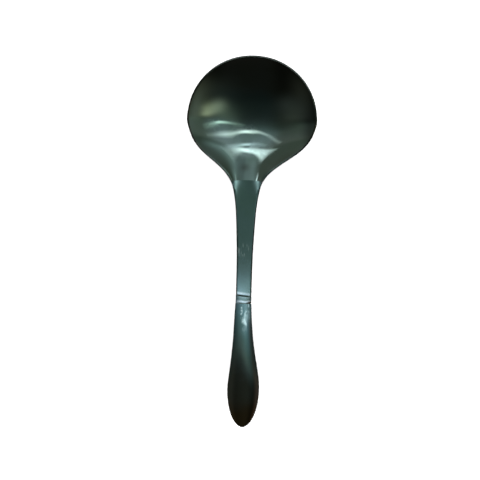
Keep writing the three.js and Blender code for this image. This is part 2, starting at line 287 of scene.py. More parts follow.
def skin(name, rings, loop=False, sharp=35, painted_lights=None):
    """The closed skin through a run of rings.

    Painted lights say how its points look, from 1 where painted shade darkens them to -1 where a painted
    highlight brightens them. The finishes read them from a point attribute.
    """
    rings = np.asarray(rings)
    runs, count = rings.shape[:2]
    faces = []
    for start in range(0, (runs - 1) * count, count):
        for j in range(count):
            a, b = start + j, start + (j + 1) % count
            faces.append((a, a + count, b + count, b))
    if not loop:
        last = (runs - 1) * count
        for j in range(count // 2 - 1):
            corners = (j, j + 1, count - 2 - j, count - 1 - j)
            faces.append(corners)
            faces.append(tuple(last + corner for corner in reversed(corners)))
    mesh = bpy.data.meshes.new(name)
    mesh.from_pydata(placed(rings.reshape(-1, 3)).tolist(), [], faces)
    if painted_lights is not None:
        mesh.attributes.new("mark", "FLOAT", "POINT").data.foreach_set("value", np.ravel(painted_lights))
    form = bmesh.new()
    form.from_mesh(mesh)
    bmesh.ops.remove_doubles(form, verts=form.verts, dist=WELD)
    bmesh.ops.dissolve_degenerate(form, edges=form.edges, dist=NEAR_NOTHING)
    bmesh.ops.recalc_face_normals(form, faces=form.faces)
    form.to_mesh(mesh)
    form.free()
    mesh.shade_smooth()
    mesh.set_sharp_from_angle(angle=math.radians(sharp))
    piece = bpy.data.objects.new(name, mesh)
    bpy.context.scene.collection.objects.link(piece)
    return piece


# --- The bowl ---

DARK_PATCH_PLACE = (-1.2, -23.6)  # the middle of a painted dark reflection in the neck
DARK_PATCH_SIZE = (3.0, 2.0)
DARK_PATCH_DARKNESS = 0.55

SIDE_POINTS = 120  # along one side of the bowl's face, behind ROUND_START
FAR_POINTS = 180
CUT_POINTS = 60
BOWL_RINGS = 80
RIM_RINGS = 9


def bowl_edge():
    """The edge of the bowl's face, anticlockwise from the right of the cut, as x and y."""
    side = -np.linspace(JOINT, -ROUND_START, SIDE_POINTS)
    low = math.asin((ROUND_START / FACE_RADIUS) ** (BOWL_FULLNESS / 2))
    angle = np.linspace(low, math.pi - low, FAR_POINTS)[1:-1]

    def reach(value):
        return FACE_RADIUS * np.sign(value) * np.abs(value) ** (2 / BOWL_FULLNESS)

    half = face_half_width(side)
    cut = np.linspace(-half[0], half[0], CUT_POINTS)[1:-1]
    x = np.concatenate([half, reach(np.cos(angle)), -half[::-1], cut])
    y = np.concatenate([side, reach(np.sin(angle)), side[::-1], np.full(len(cut), side[0])])
    return x, y


# A painted dark reflection: a soft dark patch on the face in the neck.
def painted_dark_patch(x, y):
    across = (x - DARK_PATCH_PLACE[0]) / DARK_PATCH_SIZE[0]
    along = (y - DARK_PATCH_PLACE[1]) / DARK_PATCH_SIZE[1]
    return DARK_PATCH_DARKNESS * np.exp(-across**2 - along**2)


def bowl():
    x, y = bowl_edge()
    rim_angle = math.asin(FACE_RADIUS / SPHERE_RADIUS)
    shares = np.sin(np.linspace(0, rim_angle, BOWL_RINGS)) / math.sin(rim_angle)
    inside = [face_point(x * share, y * share) for share in shares]
    outside = [under_face(x * share, y * share, np.full(x.shape, SHEET)) for share in shares[::-1]]
    lifted = np.where(y > -NECK_CUT, RIM_ROUND, 0)
    rim = []
    for share in np.linspace(0, 1, RIM_RINGS)[1:-1]:
        point = lerp(inside[-1], outside[0], share)
        point[:, 2] += lifted * math.sin(math.pi * share)
        rim.append(point)
    # Painted shade darkens the rim, fully from 8 mm behind the centre round the far lip, and fades out
    # towards the neck.
    painted_rim_shade = smoothstep(y, -NECK_CUT + 2, -8)
    painted_lights = [painted_dark_patch(x * share, y * share) for share in shares[:-1]]
    painted_lights += [painted_rim_shade] * (len(rim) + 2)
    painted_lights += [np.zeros(len(x))] * (len(outside) - 1)
    return skin("ladle_bowl", [*inside, *rim, *outside], loop=True, painted_lights=painted_lights)


# --- The stem ---

HALF_ROW = 26  # half the number of steps in a row across the stem
WALL_POINTS = 4
BEVEL_POINTS = 7
BEVEL_CURVE = 1.7
UNDER_CURVE = (2.2, 8)  # how suddenly the underside curls up at its edges, at the neck and further back
WALL_SWELL = 0.06
LIP_FALL = 0.05
LIP_LENGTH = 0.9
END_SLANT = 0.3  # how much further back the stem's end is on the right
LIP_START = 75  # from here on the rings lie closer


def heel_ring(back):
    share = (STEM_START - back) / (STEM_START - HEEL_END)
    shrink = math.sqrt(max(0, 1 - share**2))
    u = np.linspace(-1, 1, 2 * HALF_ROW + 1)
    x = u * HEEL_HALF_WIDTH * shrink
    top = under_face(x, np.full(x.shape, -back), np.full(x.shape, SHEET + HEEL_GAP))
    bottom = top - np.outer(HEEL_THICK * shrink * (1 - HEEL_THINNING * u**2), [0, 0, 1])
    return ring_of(top, bottom)


def stem_ring(back):
    flatness = float(smoothstep(back, STEM_START, CHANNEL_END))
    thick = lerp(*STEM_THICK, (back - STEM_START) / (STEM_END - STEM_START))
    edge_thick = lerp(FLANGE_THICK, thick - UNDER_BEVEL, flatness)
    outline = float(stem_half_width(back))
    slant = END_SLANT * float(smoothstep(back, STEM_END - 3, STEM_END)) / outline

    wall_lift = -np.linspace(edge_thick, BEVEL_DROP, WALL_POINTS, endpoint=False)
    wall_x = outline + WALL_SWELL * np.sin(np.linspace(0, math.pi, WALL_POINTS, endpoint=False))
    slide = np.linspace(0, 1, BEVEL_POINTS, endpoint=False)
    bevel_lift = -BEVEL_DROP * (1 - slide) ** BEVEL_CURVE
    bevel_x = outline - EDGE * slide
    side_x = np.concatenate([wall_x, bevel_x])
    fall = end_fall(back)
    side_lift = np.concatenate([wall_lift, bevel_lift]) - fall
    inner = np.linspace(-1, 1, 2 * HALF_ROW + 1 - 2 * len(side_x))
    face_x = inner * (outline - EDGE)
    face = face_point(face_x, -back - slant * face_x) - [0, 0, fall]
    left = over_arc(-side_x, -back + slant * side_x, side_lift)
    right = over_arc(side_x[::-1], -back - slant * side_x[::-1], side_lift[::-1])
    top = np.concatenate([left, face, right])

    u = np.linspace(-1, 1, len(top))
    curl = np.abs(u) ** lerp(*UNDER_CURVE, flatness)
    bottom = over_arc(u * outline, -back - slant * u * outline, -lerp(thick, edge_thick, curl))
    bottom[:, 2] -= depth_at(np.full(1, -back)) * (1 - curl)
    return ring_of(top, bottom)


def end_fall(back):
    """How far the stem's face dips in front of the collar."""
    return LIP_FALL * float(smoothstep(back, STEM_END - LIP_LENGTH, STEM_END + 0.4))


def stem_painted_lights(back):
    """Painted shade darkens the stem along its edges and underneath. A painted highlight brightens its end,
    more so on the left.
    """
    u = np.linspace(-1, 1, 2 * HALF_ROW + 1)
    painted_highlight = smoothstep(back, STEM_END - 2 + 0.5 * u, STEM_END - 0.2) * (0.75 - 0.2 * u)
    top = -painted_highlight * (1 - smoothstep(back, STEM_END - 0.12, STEM_END))
    edge = BEVEL_POINTS + 1
    top[:edge] = float(smoothstep(back, 33, 40))
    top[-edge:] = top[:edge]
    return np.concatenate([top, np.ones(len(top))])


def seam_lift(back):
    """The lift of the grip's seam over the handle's arc."""
    swell = smoothstep(back, GRIP_MOUTH, GRIP_WIDEST)
    share = np.clip((back - GRIP_WIDEST) / (GRIP_TIP - GRIP_WIDEST), 0, 1)
    return GRIP_PROUD - lerp(*GRIP_RISE, swell) * np.sqrt(1 - share**2)


def tang_ring(back):
    share = (back - STEM_END) / (TANG_END - STEM_END)
    x = np.linspace(-1, 1, 2 * HALF_ROW + 1) * lerp(*TANG_HALF_WIDTH, share)
    half_thick = lerp(*TANG_HALF_THICK, share)
    y = np.full(1, -back)
    middle = seam_lift(back)
    return ring_of(over_arc(x, y, middle + half_thick), over_arc(x, y, middle - half_thick))


def stem():
    turn = np.linspace(0, math.pi / 2, 14)
    heel = [heel_ring(back) for back in lerp(HEEL_END, STEM_START, 1 - np.cos(turn))]
    neck = np.linspace(JOINT, CHANNEL_END, 60)
    flat = np.linspace(CHANNEL_END, LIP_START, 70)[1:]
    lip = np.linspace(LIP_START, STEM_END, 30)[1:]
    backs = [*neck, *flat, *lip]
    bar = [stem_ring(back) for back in backs]
    tang = [tang_ring(back) for back in np.linspace(STEM_END, TANG_END, 12)]
    plain = np.zeros(2 * (2 * HALF_ROW + 1))
    painted_lights = [plain] * len(heel) + [stem_painted_lights(back) for back in backs] + [plain] * len(tang)
    return skin("ladle_stem", [*heel, *bar, *tang], painted_lights=painted_lights)


# --- The collar and the grip ---

# The collar's skin, by the share of the way from the stem to the grip: how far it lies under its full size,
# and its painted light, from 1 for painted shade to -1 for a painted highlight. It has a groove in front
# darkened by painted shade, a hollow band, and behind it a bead brightened by a painted highlight, which runs
# down under the grip's mouth.
COLLAR_PROFILE = [
    (-0.06, 0.5, 1), (0.04, 0.45, 1), (0.1, 0.28, 0.9), (0.15, 0.12, 0.2), (0.22, 0.08, -0.4),
    (0.34, 0.08, -0.2), (0.48, 0.08, -0.05), (0.58, 0.06, -0.4), (0.67, 0.03, -1), (0.78, 0.02, -1),
    (0.9, 0.05, -1), (0.98, 0.12, -0.6), (1.06, 0.22, 0), (1.13, 0.34, 0.4), (1.2, 0.42, 0.8),
]
COLLAR_POINTS = 120
COLLAR_SLANT = (0.5, -0.55)  # of the groove and of the bead: how much further back they are on the right
BEAD_WAVE = 0.16
COLLAR_LAP = 0.25  # how far its profile overruns it, before and behind


def collar_ring(share, inset, half_width, half_thick):
    """A ring round the collar. The groove runs aslant one way and the wavy bead the other."""
    angle = np.linspace(0, 2 * math.pi, COLLAR_POINTS, endpoint=False)
    across = -np.cos(angle)
    aslant = lerp(*COLLAR_SLANT, share) * across + BEAD_WAVE * share * np.sin(4.2 * across + 0.6)
    back = lerp(COLLAR_FRONT - COLLAR_LAP, COLLAR_BACK + COLLAR_LAP, share)
    lift = seam_lift(back) + (half_thick - inset) * np.sin(angle)
    return over_arc((half_width - 0.25 * inset) * across, -back - aslant, lift)


def collar():
    at, insets, painted_light_stops = np.array(COLLAR_PROFILE).T
    inset = spline(np.c_[at, insets])
    shares = np.linspace(at[0], at[-1], 80)
    outer = [collar_ring(share, float(inset(share)), COLLAR_HALF_WIDTH, GRIP_RISE[0]) for share in shares]
    hole = [collar_ring(share, 0, *COLLAR_HOLE) for share in (at[-1], at[0])]
    painted_lights = [np.full(COLLAR_POINTS, mark) for mark in np.interp(shares, at, painted_light_stops)]
    # The rings inside the hole are darkened by painted shade.
    painted_lights += [np.ones(COLLAR_POINTS)] * 3
    return skin("ladle_collar", [*outer, *hole, outer[0]], loop=True, sharp=60, painted_lights=painted_lights)


def grip_station(travel, inset):
    """Back, half width, rise and drop of the grip, from travel -1 at the mouth by 0 at the widest to 1."""
    if travel <= 0:
        back = lerp(GRIP_WIDEST, GRIP_MOUTH, -travel)
        swell = smoothstep(back, GRIP_MOUTH, GRIP_WIDEST)
        half = float(grip_half_width(back))
        return back, half - inset, lerp(*GRIP_RISE, swell) - inset, lerp(*GRIP_DROP, swell) - inset
    widest = np.array([GRIP_HALF_WIDTH, GRIP_RISE[1], GRIP_DROP[1]])
    return lerp(GRIP_WIDEST, GRIP_TIP - inset, travel), *((widest - inset) * (1 - travel**2) ** TIP_POWER)


# Dents in the top of the grip: back, place across from -1 to 1, length, width across and depth.
DENTS = [
    (84.6, 0.62, 1.1, 0.25, 0.05), (86.2, -0.35, 1.2, 0.3, 0.035), (88.4, 0.42, 1.6, 0.22, 0.05),
    (94.6, -0.05, 2.2, 0.4, 0.03), (104, 0.4, 4, 0.4, 0.03), (118, -0.3, 6, 0.5, 0.04),
]


GRIP_STEPS = 56  # across the grip


def grip_row(travel, inset, side, off):
    back, half, rise, drop = grip_station(travel, inset)
    height = max(0, (rise if side > 0 else drop) - off)
    angle = np.linspace(-math.pi / 2, math.pi / 2, GRIP_STEPS + 1)
    y = np.full(1, -back)
    lift = seam_lift(back) + side * (off + height * np.cos(angle))
    if side > 0 and inset == 0:
        for at, across, long, wide, depth in DENTS:
            away = ((back - at) / long) ** 2 + ((np.sin(angle) - across) / wide) ** 2
            lift = lift - depth * np.exp(-away)
    return over_arc(half * np.sin(angle), y, lift)


TIP_TRAVEL = np.sin(np.linspace(0, math.pi / 2, 40))
GRIP_TRAVEL = np.concatenate([np.linspace(-1, -0.7, 50), np.linspace(-0.7, 0, 70)[1:], TIP_TRAVEL[1:]])


def grip_shell(name, side):
    off = SEAM_HALF_THICK + SEAM_GAP
    rings = []
    for travel in GRIP_TRAVEL:
        outer = grip_row(travel, 0, side, off)
        inner = grip_row(travel, SHELL, side, off)
        rings.append(ring_of(outer, inner) if side > 0 else ring_of(inner, outer))
    return skin(name, rings)


def seam():
    def ring(travel, side):
        def corner(inset, level):
            back, half = grip_station(travel, inset)[:2]
            return over_arc(np.full(1, side * half), np.full(1, -back), seam_lift(back) + level)[0]

        up = SEAM_HALF_THICK + SEAM_GAP
        upper = [(-SEAM_PROUD, up / 2), (0, up), (SHELL, up)]
        outline = upper + [(inset, -level) for inset, level in reversed(upper)]
        return [corner(inset, level) for inset, level in outline]

    left = [ring(travel, -1) for travel in GRIP_TRAVEL]
    right = [ring(travel, 1) for travel in GRIP_TRAVEL[-2::-1]]
    return skin("ladle_seam", [*left, *right])


# --- Materials ---

class Shader:
    """A material's node tree, with short ways to add to it."""

    def __init__(self, name):
        self.material = bpy.data.materials.new(name)
        self.material.use_nodes = True
        self.nodes = self.material.node_tree.nodes
        self.links = self.material.node_tree.links
        self.surface = self.nodes["Principled BSDF"]
        self.place = self.add("ShaderNodeTexCoord").outputs["Object"]

    def add(self, kind, settings=None, **inputs):
        """A node with its settings, and its inputs fed by name, or by place as i0, i1 and so on."""
        node = self.nodes.new(kind)
        for key, value in (settings or {}).items():
            setattr(node, key, value)
        for key, value in inputs.items():
            self.feed(node.inputs[int(key[1:]) if key[1:].isdigit() else key], value)
        return node

    def feed(self, socket, value):
        if isinstance(value, bpy.types.NodeSocket):
            self.links.new(value, socket)
        else:
            socket.default_value = value

    def noise(self, scale, detail=3.0, roughness=0.5, stretch=(1, 1, 1), turn=(0, 0, 0), distortion=0.0):
        """Noise from 0 to 1, about scale spots a metre, drawn out where stretch is small."""
        mapped = self.add("ShaderNodeMapping", Vector=self.place, Scale=stretch, Rotation=turn)
        made = self.add("ShaderNodeTexNoise", Vector=mapped.outputs["Vector"], Scale=scale, Detail=detail,
                        Roughness=roughness, Distortion=distortion)
        return made.outputs["Fac"]

    def mark(self):
        """The point's painted light, as skin() gives it: 1 for painted shade, -1 for a painted highlight."""
        return self.add("ShaderNodeAttribute", {"attribute_name": "mark"}).outputs["Fac"]

    def between(self, value, low, high, to_low=0.0, to_high=1.0):
        """A value eased from low..high to to_low..to_high."""
        made = self.add("ShaderNodeMapRange", {"interpolation_type": "SMOOTHSTEP"}, Value=value)
        for key, number in (("From Min", low), ("From Max", high), ("To Min", to_low), ("To Max", to_high)):
            made.inputs[key].default_value = number
        return made.outputs["Result"]

    def math(self, operation, a, b):
        return self.add("ShaderNodeMath", {"operation": operation}, i0=a, i1=b).outputs[0]

    def mix(self, share, a, b):
        """Colour a, and colour b where share is 1."""
        node = self.add("ShaderNodeMix", {"data_type": "RGBA"})
        self.feed(node.inputs["Factor"], share)
        self.feed(node.inputs[6], a)
        self.feed(node.inputs[7], b)
        return node.outputs[2]


STEEL = (0.17, 0.245, 0.24, 1)
STEEL_GREEN = (0.16, 0.235, 0.215, 1)
# The tone of painted shade; the next is the bright tone of rubbed nicks and of painted highlights.
PAINTED_SHADE = (0.05, 0.05, 0.042, 1)
RUBBED_AND_HIGHLIGHT = (0.55, 0.6, 0.6, 1)
# The brown-black tone of painted shade towards the grip's tip.
TIP_SHADE_TONE = (0.15, 0.15, 0.09, 1)
SOLDER = (0.3, 0.17, 0.1, 1)
SOLDER_DARK = (0.22, 0.15, 0.09, 1)
CEMENT = (0.58, 0.56, 0.5, 1)
CEMENT_DARK = (0.42, 0.4, 0.34, 1)

# Noise by its scale, detail and roughness, and where on it the change starts and is full.
CLOUDS = (70, 4, 0.6)
CLOUD_RANGE = (0.35, 0.65)
SMUDGES = (160, 5, 0.62)
SMUDGE_RANGE = (0.38, 0.68)
SMUDGE_TWIST = 0.4
GRAIN = (900, 6, 0.7)
TIP_SHADE_EDGE = (90, 3)

PAINTED_SHADE_SHARE = 0.8
NICK_SHARE = 0.85
SMUDGE_ROUGHNESS = (-0.03, 0.05)  # less and more of it than the finish has
SCRATCH_ROUGHNESS = 0.05
MATT = 0.9

# Fine scratches that run two ways: noise scale, detail and roughness, stretch, turn, and the noise at which
# they start and are full.
HAIRS = [
    (900, 2, 0.5, (1, 0.035, 1), 0.25, 0.66, 0.74),
    (760, 2, 0.5, (0.05, 1, 1), -0.4, 0.67, 0.75),
]
NICKS = [
    (1500, 1, 0.4, (1, 0.16, 0.16), 0.7, 0.6, 0.66),
    (1400, 1, 0.4, (1, 0.14, 0.14), -0.9, 0.6, 0.66),
]

# Places and lengths of the finishes, in the model's metres.
SCUFF_PLACE = (-0.0026, -0.0012, 0.0195)  # on the stem
SCUFF_RADIUS = (0.002, 0.0042)
# Where the painted shade on the grip starts and is full along Y, and how far its edge wanders.
TIP_SHADE_START = -0.064
TIP_SHADE_FULL = -0.078
TIP_SHADE_WANDER = 0.012
SCRATCH_HEIGHT = 0.00002


def crossed(made, ways):
    """1 on scratches, and 0 between them."""
    lines = []
    for scale, detail, roughness, stretch, turn, start, full in ways:
        lines.append(made.between(made.noise(scale, detail, roughness, stretch, (0, 0, turn)), start, full))
    return made.math("MAXIMUM", *lines)


def painted_tip_shade(made, colour):
    """The grip's steel, darkened and browned towards the tip by painted shade."""
    along = made.add("ShaderNodeSeparateXYZ", Vector=made.place).outputs["Y"]
    wander = made.math("MULTIPLY", made.noise(*TIP_SHADE_EDGE), TIP_SHADE_WANDER)
    tint = made.between(made.math("ADD", along, wander), TIP_SHADE_START, TIP_SHADE_FULL)
    return made.mix(tint, colour, TIP_SHADE_TONE)


def scuffed(made, colour):
    """The stem's steel, with one small place of fine nicks."""
    away = made.add("ShaderNodeVectorMath", {"operation": "DISTANCE"}, i0=made.place, i1=SCUFF_PLACE)
    near = made.between(away.outputs["Value"], *SCUFF_RADIUS, NICK_SHARE, 0)
    return made.mix(made.math("MULTIPLY", near, crossed(made, NICKS)), colour, RUBBED_AND_HIGHLIGHT)


def metal(name, tone, other_tone, roughness, scratch_strength, tint=None):
    """Polished metal: clouds of two tones, painted shade and painted highlights where skin() sets them,
    smudges and hair scratches.
    """
    made = Shader(name)
    cloud = made.between(made.noise(*CLOUDS), *CLOUD_RANGE)
    colour = made.mix(cloud, tone, other_tone)
    mark = made.mark()
    # Painted shade where the point's painted light is above 0, and a painted highlight where it is below 0.
    colour = made.mix(made.between(mark, 0, 1, 0, PAINTED_SHADE_SHARE), colour, PAINTED_SHADE)
    colour = made.mix(made.between(made.math("MULTIPLY", mark, -1.0), 0, 1), colour, RUBBED_AND_HIGHLIGHT)
    if tint:
        colour = tint(made, colour)
    smudge = made.between(made.noise(*SMUDGES, distortion=SMUDGE_TWIST), *SMUDGE_RANGE)
    hairs = crossed(made, HAIRS)
    smudged = made.between(smudge, 0, 1, *(roughness + change for change in SMUDGE_ROUGHNESS))
    rough = made.math("ADD", smudged, made.between(hairs, 0, 1, 0, SCRATCH_ROUGHNESS))
    height = made.math("SUBTRACT", smudge, hairs)
    bump = made.add("ShaderNodeBump", Strength=scratch_strength, Distance=SCRATCH_HEIGHT, Height=height)
    made.feed(made.surface.inputs["Base Color"], colour)
    made.feed(made.surface.inputs["Roughness"], rough)
    made.feed(made.surface.inputs["Normal"], bump.outputs["Normal"])
    made.surface.inputs["Metallic"].default_value = 1.0
    return made.material


def cement():
    made = Shader("cement")
    made.feed(made.surface.inputs["Base Color"], made.mix(made.noise(*GRAIN), CEMENT_DARK, CEMENT))
    made.surface.inputs["Roughness"].default_value = MATT
    return made.material


# --- The pieces and their finishes ---

pieces = {
    "bowl": bowl(),
    "stem": stem(),
    "collar": collar(),
    "grip_top_shell": grip_shell("ladle_grip_top", 1),
    "grip_bottom_shell": grip_shell("ladle_grip_bottom", -1),
    "grip_seam": seam(),
}
SLOTS = {
    "bowl": "bowl_steel", "stem": "stem_steel", "collar": "collar_steel", "grip_top_shell": "grip_steel",
    "grip_bottom_shell": "grip_steel", "grip_seam": "solder",
}
finishes = {
    "bowl_steel": metal("bowl_steel", STEEL, STEEL_GREEN, 0.09, 0.1),
    "stem_steel": metal("stem_steel", STEEL, STEEL_GREEN, 0.18, 0.12, scuffed),
    "collar_steel": metal("collar_steel", STEEL, STEEL_GREEN, 0.2, 0.12),
    "grip_steel": metal("grip_steel", STEEL, STEEL_GREEN, 0.1, 0.12, painted_tip_shade),
    "solder": metal("solder", SOLDER, SOLDER_DARK, 0.5, 0.4),
}
for node, piece in pieces.items():
    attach(piece, "root")
    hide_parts(node)
    piece.data.materials.append(finishes[SLOTS[node]])

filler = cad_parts["grip_filler"]
filler.data.materials.clear()
filler.data.materials.append(cement())

for piece in [*pieces.values(), *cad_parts.values()]:
    piece.visible_glossy = False  # the ladle mirrors the studio, not itself

# --- The stage: floor, camera and light. Lengths are metres. ---

FLOOR_HALF = 0.7
CAMERA_ASIDE = -0.00407  # across the picture
CAMERA_ALONG = 0.00347
CAMERA_HEIGHT = 0.43
LEAN = math.radians(1.66)  # of the picture's upright against the ladle's length
SENSOR = 36
LENS = 65.04
LAMP_SIZE = 1.6
LAMP_HEIGHT = 1.4
LAMP_POWER = 60
PAPER = (0.86, 0.86, 0.86, 1)
DARK_ROOM = (0.003, 0.003, 0.003, 1)
WHITE = (1, 1, 1, 1)

scene = bpy.context.scene
scene.view_settings.view_transform = "Standard"

corners = [(x * FLOOR_HALF, y * FLOOR_HALF, 0) for x, y in ((-1, -1), (1, -1), (1, 1), (-1, 1))]
floor_mesh = bpy.data.meshes.new("floor")
floor_mesh.from_pydata(corners, [], [(0, 1, 2, 3)])
floor = bpy.data.objects.new("floor", floor_mesh)
floor.visible_glossy = False
scene.collection.objects.link(floor)
paper = Shader("paper")
paper.surface.inputs["Base Color"].default_value = PAPER
paper.surface.inputs["Roughness"].default_value = MATT
paper.surface.inputs["Specular IOR Level"].default_value = 0.0
floor_mesh.materials.append(paper.material)

camera = bpy.data.objects.new("camera", bpy.data.cameras.new("camera"))
camera.data.sensor_width = SENSOR
camera.data.lens = LENS
camera.location = (
    CAMERA_ASIDE * math.cos(LEAN), CAMERA_ALONG + CAMERA_ASIDE * math.sin(LEAN), CAMERA_HEIGHT)
camera.rotation_euler = (0, 0, LEAN)
scene.collection.objects.link(camera)
scene.camera = camera

world = bpy.data.worlds.new("studio")
world.use_nodes = True
scene.world = world
nodes, links = world.node_tree.nodes, world.node_tree.links
ray = nodes.new("ShaderNodeLightPath")
pick = nodes.new("ShaderNodeMix")
pick.data_type = "RGBA"
pick.inputs[6].default_value = DARK_ROOM
pick.inputs[7].default_value = WHITE
links.new(ray.outputs["Is Camera Ray"], pick.inputs[0])
links.new(pick.outputs[2], nodes["Background"].inputs["Color"])

lamp = bpy.data.lights.new("overhead", "AREA")
lamp.shape = "DISK"
lamp.size = LAMP_SIZE
lamp.energy = LAMP_POWER
overhead = bpy.data.objects.new("overhead", lamp)
overhead.location = (0, 0, LAMP_HEIGHT)
overhead.visible_glossy = False
overhead.visible_camera = False
scene.collection.objects.link(overhead)


# --- What the ladle mirrors ---
# Directions are on a chart: how many degrees they lean from the zenith, to the right and up the picture.

def receivers(name, *nodes):
    """The pieces that a light is for."""
    group = bpy.data.collections.new(name)
    for node in nodes:
        group.objects.link(pieces[node])
    return group


BOWL_LIT = receivers("bowl_lit", "bowl")
HANDLE_LIT = receivers("handle_lit", "stem", "collar", "grip_top_shell", "grip_bottom_shell", "grip_seam")
GRIP_LIT = receivers("grip_lit", "grip_top_shell")
STEM_LIT = receivers("stem_lit", "stem", "collar")
BOWL_CENTRE = (0, 0.0555, 0.01)
HANDLE_CENTRE = (0, -0.02, 0.02)


def chart_direction(right, up):
    lean = np.hypot(right, up)
    side = np.sin(np.radians(lean)) / np.maximum(lean, 1e-6)
    return np.stack([right * side, up * side, np.cos(np.radians(lean))], -1)


def chart_angles(direction):
    x, y, z = direction.T
    reach = np.maximum(np.hypot(x, y), 1e-9)
    lean = np.degrees(np.arctan2(reach, z))
    return lean * x / reach, lean * y / reach


def glowing(name, vertices, faces, colours, lit, centre):
    """A mesh that only shines on some pieces, and only as they mirror it."""
    mesh = bpy.data.meshes.new(name)
    mesh.from_pydata(vertices.tolist(), [], faces)
    glow = mesh.color_attributes.new("glow", "FLOAT_COLOR", "POINT")
    glow.data.foreach_set("color", np.c_[colours, np.ones(len(colours))].ravel())
    shade = bpy.data.materials.new(name)
    shade.use_nodes = True
    nodes, links = shade.node_tree.nodes, shade.node_tree.links
    nodes.clear()
    colour = nodes.new("ShaderNodeAttribute")
    colour.attribute_name = "glow"
    emission = nodes.new("ShaderNodeEmission")
    clear = nodes.new("ShaderNodeBsdfTransparent")
    both = nodes.new("ShaderNodeAddShader")
    out = nodes.new("ShaderNodeOutputMaterial")
    links.new(colour.outputs["Color"], emission.inputs["Color"])
    links.new(emission.outputs[0], both.inputs[0])
    links.new(clear.outputs[0], both.inputs[1])
    links.new(both.outputs[0], out.inputs["Surface"])
    mesh.materials.append(shade)
    panel = bpy.data.objects.new(name, mesh)
    panel.location = centre
    for kind in ("camera", "diffuse", "shadow", "transmission"):
        setattr(panel, "visible_" + kind, False)
    panel.light_linking.receiver_collection = lit
    scene.collection.objects.link(panel)


DOME_RADIUS = 1.5
DOME_STEPS = 72
DOME_TURNS = 96
DOME_LEAN = 179.5


def dome(name, radiance, lit, centre):
    """A shell all round the ladle, lit as radiance(right, up) says."""
    lean = np.linspace(0, DOME_LEAN, DOME_STEPS)[:, None]
    turn = np.linspace(0, 2 * math.pi, DOME_TURNS, endpoint=False)[None, :]
    direction = chart_direction(lean * np.cos(turn), lean * np.sin(turn)).reshape(-1, 3)
    faces = []
    for i in range(DOME_STEPS - 1):
        for j in range(DOME_TURNS):
            a, b = i * DOME_TURNS + j, i * DOME_TURNS + (j + 1) % DOME_TURNS
            faces.append((a, b, b + DOME_TURNS, a + DOME_TURNS))
    glow = radiance(*chart_angles(direction))
    glowing(name, direction * DOME_RADIUS, faces, glow, lit, centre)


RIBBON_RADIUS = 1.2
RIBBON_STEPS = 90
RIBBON_ACROSS = (-1, -0.5, 0, 0.5, 1)
RIBBON_GLOW = (0, 0.5, 1, 0.5, 0)


def ribbon(name, path, colour, lit, centre):
    """A strip light through places of (right, up, half width, strength), which fades to its edges."""
    path = np.array(path, float)
    count = np.arange(len(path))
    at = np.linspace(0, len(path) - 1, RIBBON_STEPS)
    right, up, width, strength = (spline(np.c_[count, column])(at) for column in path.T)
    middle = chart_direction(right, up)
    side = np.cross(middle, np.gradient(middle, axis=0))
    side /= np.linalg.norm(side, axis=1, keepdims=True)
    half = np.radians(np.maximum(width, 0.1))[:, None]
    vertices = np.concatenate([middle + side * half * across for across in RIBBON_ACROSS]) * RIBBON_RADIUS
    faces = []
    for row in range(0, (len(RIBBON_ACROSS) - 1) * RIBBON_STEPS, RIBBON_STEPS):
        for a in range(row, row + RIBBON_STEPS - 1):
            faces.append((a, a + 1, a + 1 + RIBBON_STEPS, a + RIBBON_STEPS))
    glow = np.maximum(strength, 0)[:, None] * np.array(colour)
    glowing(name, vertices, faces, np.concatenate([glow * share for share in RIBBON_GLOW]), lit, centre)


def blend_stops(value, stops):
    """Colours between stops of (value, red, green, blue)."""
    stops = np.array(stops, float)
    return np.stack([np.interp(value, stops[:, 0], stops[:, k]) for k in (1, 2, 3)], -1)


def patches(right, up, rows):
    """Soft round patches of light, by rows of centre, size and colour."""
    light = 0
    for centre, size, colour in rows:
        away = ((right - centre[0]) / size[0]) ** 2 + ((up - centre[1]) / size[1]) ** 2
        light = light + np.exp(-away)[:, None] * colour
    return light


def dimmed(share, to):
    """A factor that goes from 1 to a colour, or to a number, as share goes from 0 to 1."""
    return lerp(1, np.array(to), share[:, None])


# What the bowl mirrors: dark low down the picture, with a pale wall up it.
BOWL_STOPS = [
    (-120, 0.02, 0.016, 0.012), (-75, 0.02, 0.018, 0.014), (-55, 0.02, 0.025, 0.024),
    (-30, 0.042, 0.052, 0.048), (-20, 0.06, 0.07, 0.065), (-12, 0.11, 0.13, 0.12), (-5, 0.2, 0.24, 0.23),
    (5, 0.44, 0.5, 0.49), (24, 0.62, 0.66, 0.68), (38, 0.7, 0.72, 0.74), (48, 0.48, 0.54, 0.52),
    (75, 0.48, 0.53, 0.51), (90, 0.4, 0.42, 0.4),
]
BOWL_PATCHES = [
    ((-66, -18), (22, 17), [0.07, 0.065, 0.05]),
    ((81, -24), (12, 11), [0.95, 0.83, 0.53]),
    ((69, -32), (12, 10), [0.5, 0.45, 0.3]),
    ((57, -38), (13, 10), [0.42, 0.39, 0.27]),
    ((48, -22), (22, 17), [0.2, 0.22, 0.15]),
    ((106, -20), (20, 26), [0.26, 0.25, 0.19]),
    ((108, -58), (32, 26), [0.12, 0.105, 0.075]),
    ((62, -62), (34, 24), [0.025, 0.025, 0.02]),
    ((-84, -26), (30, 24), [0.05, 0.045, 0.04]),
    ((-58, -44), (20, 14), [0.05, 0.047, 0.042]),
    ((-96, -62), (26, 34), [0.045, 0.038, 0.027]),
    ((-22, 62), (16, 10), [0.1, 0.1, 0.1]),
    ((64, 58), (14, 9), [0.3, 0.35, 0.35]),
]


